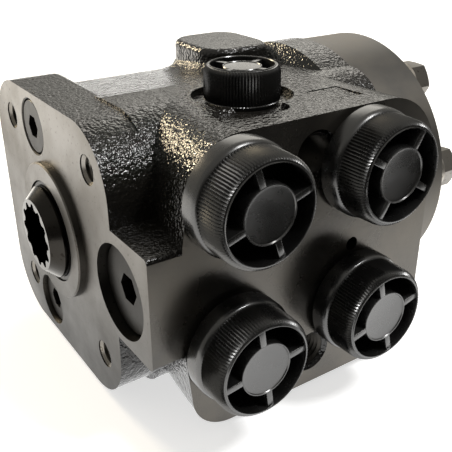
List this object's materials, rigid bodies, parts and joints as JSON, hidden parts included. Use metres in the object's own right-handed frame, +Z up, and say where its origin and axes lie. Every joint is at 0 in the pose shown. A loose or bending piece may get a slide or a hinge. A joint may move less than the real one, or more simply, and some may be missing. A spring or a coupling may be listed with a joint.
{
  "type": "orbital steering unit",
  "caption": "Load-sensing orbital steering unit: cast valve housing with capped ports, splined input, rotary valve and orbiting gear set.",
  "frame": {"origin": "centre of the front mounting face, on the input axis", "axes": "+X along the input axis towards the gear set, -Y out of the port face, +Z up"},
  "size_m": [0.1401, 0.1229, 0.0978],
  "materials": {
    "casting": "rough casting under glossy black paint, mounting face machined bare",
    "gear_steel": "smooth dark glossy paint over machined steel",
    "screw_steel": "dark phosphated screw steel under a thin coat of paint",
    "plug_steel": "dull zinc grey turned steel",
    "valve_steel": "ground and polished hardened steel",
    "spring_steel": "blued spring steel",
    "cap_plastic": "semi-gloss black moulded plastic",
    "seal_rubber": "black sealing rubber",
    "washer_metal": "soft sealing washer, dull"
  },
  "bodies": {
    "housing": {"housing": "casting", "dust_seal": "seal_rubber", "shaft_seal": "seal_rubber", "front_race": "valve_steel", "distributor_plate": "gear_steel", "gear_ring": "gear_steel", "end_cover": "gear_steel", "housing_oring": "seal_rubber", "plate_oring": "seal_rubber", "cover_oring": "seal_rubber", "cover_screws": "screw_steel", "pin_screw": "screw_steel", "cover_washers": "washer_metal", "relief_plug": "plug_steel", "relief_seal": "washer_metal", "relief_seat": "valve_steel", "relief_spring": "spring_steel", "upper_shock_plug": "plug_steel", "lower_shock_plug": "plug_steel", "upper_shock_spring": "spring_steel", "lower_shock_spring": "spring_steel", "ball_stop": "valve_steel"},
    "sleeve": {"sleeve": "valve_steel", "cross_pin": "valve_steel", "spring_ring": "spring_steel", "rear_race": "valve_steel", "flat_springs": "spring_steel", "curved_springs": "spring_steel"},
    "spool": {"spool": "valve_steel"},
    "bearing_cage": {"needle_cage": "valve_steel", "bearing_needles": "valve_steel"},
    "spacer": {"spacer": "valve_steel"},
    "rotor": {"rotor": "valve_steel"},
    "cardan": {"cardan_shaft": "valve_steel"},
    "relief_poppet": {"relief_poppet": "valve_steel"},
    "upper_shock_ball": {"upper_shock_ball": "valve_steel"},
    "lower_shock_ball": {"lower_shock_ball": "valve_steel"},
    "check_ball": {"check_ball": "valve_steel"},
    "upper_front_seal": {"upper_front_seal": "seal_rubber"},
    "upper_front_cap": {"upper_front_cap": "cap_plastic"},
    "upper_rear_seal": {"upper_rear_seal": "seal_rubber"},
    "upper_rear_cap": {"upper_rear_cap": "cap_plastic"},
    "lower_front_seal": {"lower_front_seal": "seal_rubber"},
    "lower_front_cap": {"lower_front_cap": "cap_plastic"},
    "lower_rear_seal": {"lower_rear_seal": "seal_rubber"},
    "lower_rear_cap": {"lower_rear_cap": "cap_plastic"},
    "sensing_seal": {"sensing_seal": "seal_rubber"},
    "sensing_cap": {"sensing_cap": "cap_plastic"}
  },
  "joints": [
    {"name": "sleeve_turn", "type": "hinge", "parent": "housing", "child": "sleeve", "pos_m": [0, 0, 0], "axis": [1, 0, 0], "continuous": true},
    {"name": "spool_twist", "type": "hinge", "parent": "sleeve", "child": "spool", "pos_m": [0, 0, 0], "axis": [1, 0, 0], "range_deg": [-8, 8], "stiffness_Nm_per_rad": 12, "deforming": ["flat_springs", "curved_springs"]},
    {"name": "cage_roll", "type": "hinge", "parent": "housing", "child": "bearing_cage", "pos_m": [0, 0, 0], "axis": [1, 0, 0], "continuous": true},
    {"name": "rotor_orbit", "type": "hinge", "parent": "housing", "child": "spacer", "pos_m": [0, 0, 0], "axis": [1, 0, 0], "continuous": true},
    {"name": "rotor_spin", "type": "hinge", "parent": "spacer", "child": "rotor", "pos_m": [0.1097, 0, -0.0032], "axis": [1, 0, 0], "continuous": true},
    {"name": "cardan_spin", "type": "hinge", "parent": "spacer", "child": "cardan", "pos_m": [0.036, 0, 0], "axis": [0.9991, 0, -0.0434], "continuous": true},
    {"name": "relief_lift", "type": "slide", "parent": "housing", "child": "relief_poppet", "axis": [-1, 0, 0], "range_m": [0, 0.0015], "stiffness_N_per_m": 9000, "springref_m": -0.004, "deforming": ["relief_spring"]},
    {"name": "upper_shock_lift", "type": "slide", "parent": "housing", "child": "upper_shock_ball", "axis": [-1, 0, 0], "range_m": [0, 0.0012], "stiffness_N_per_m": 9000, "springref_m": -0.003, "deforming": ["upper_shock_spring"]},
    {"name": "lower_shock_lift", "type": "slide", "parent": "housing", "child": "lower_shock_ball", "axis": [-1, 0, 0], "range_m": [0, 0.0012], "stiffness_N_per_m": 9000, "springref_m": -0.003, "deforming": ["lower_shock_spring"]},
    {"name": "check_lift", "type": "slide", "parent": "housing", "child": "check_ball", "axis": [0, 1, 0], "range_m": [0, 0.0015]},
    {"name": "upper_front_cap_lift", "type": "slide", "parent": "housing", "child": "upper_front_seal", "axis": [0, -1, 0], "range_m": [0, 0.01112]},
    {"name": "upper_front_cap_turn", "type": "hinge", "parent": "upper_front_seal", "child": "upper_front_cap", "pos_m": [0.0247, -0.0603, 0.0277], "axis": [0, -1, 0], "range_deg": [0, 2520]},
    {"name": "upper_rear_cap_lift", "type": "slide", "parent": "housing", "child": "upper_rear_seal", "axis": [0, -1, 0], "range_m": [0, 0.01112]},
    {"name": "upper_rear_cap_turn", "type": "hinge", "parent": "upper_rear_seal", "child": "upper_rear_cap", "pos_m": [0.0674, -0.0603, 0.0277], "axis": [0, -1, 0], "range_deg": [0, 2520]},
    {"name": "lower_front_cap_lift", "type": "slide", "parent": "housing", "child": "lower_front_seal", "axis": [0, -1, 0], "range_m": [0, 0.01112]},
    {"name": "lower_front_cap_turn", "type": "hinge", "parent": "lower_front_seal", "child": "lower_front_cap", "pos_m": [0.0247, -0.0603, -0.0161], "axis": [0, -1, 0], "range_deg": [0, 2520]},
    {"name": "lower_rear_cap_lift", "type": "slide", "parent": "housing", "child": "lower_rear_seal", "axis": [0, -1, 0], "range_m": [0, 0.01112]},
    {"name": "lower_rear_cap_turn", "type": "hinge", "parent": "lower_rear_seal", "child": "lower_rear_cap", "pos_m": [0.0674, -0.0603, -0.0161], "axis": [0, -1, 0], "range_deg": [0, 2520]},
    {"name": "sensing_cap_lift", "type": "slide", "parent": "housing", "child": "sensing_seal", "axis": [0, 0, 1], "range_m": [0, 0.00889]},
    {"name": "sensing_cap_turn", "type": "hinge", "parent": "sensing_seal", "child": "sensing_cap", "pos_m": [0.048, -0.031, 0.04], "axis": [0, 0, 1], "range_deg": [0, 2520]}
  ],
  "couplings": [
    {"joint": "cage_roll", "follows": "sleeve_turn", "ratio": 0.5},
    {"joint": "rotor_orbit", "follows": "sleeve_turn", "ratio": -6},
    {"joint": "rotor_spin", "follows": "sleeve_turn", "ratio": 7},
    {"joint": "cardan_spin", "follows": "sleeve_turn", "ratio": 7},
    {"joint": "upper_front_cap_lift", "follows": "upper_front_cap_turn", "m_per_rad": 0.00025266},
    {"joint": "upper_rear_cap_lift", "follows": "upper_rear_cap_turn", "m_per_rad": 0.00025266},
    {"joint": "lower_front_cap_lift", "follows": "lower_front_cap_turn", "m_per_rad": 0.00025266},
    {"joint": "lower_rear_cap_lift", "follows": "lower_rear_cap_turn", "m_per_rad": 0.00025266},
    {"joint": "sensing_cap_lift", "follows": "sensing_cap_turn", "m_per_rad": 0.00020213}
  ]
}
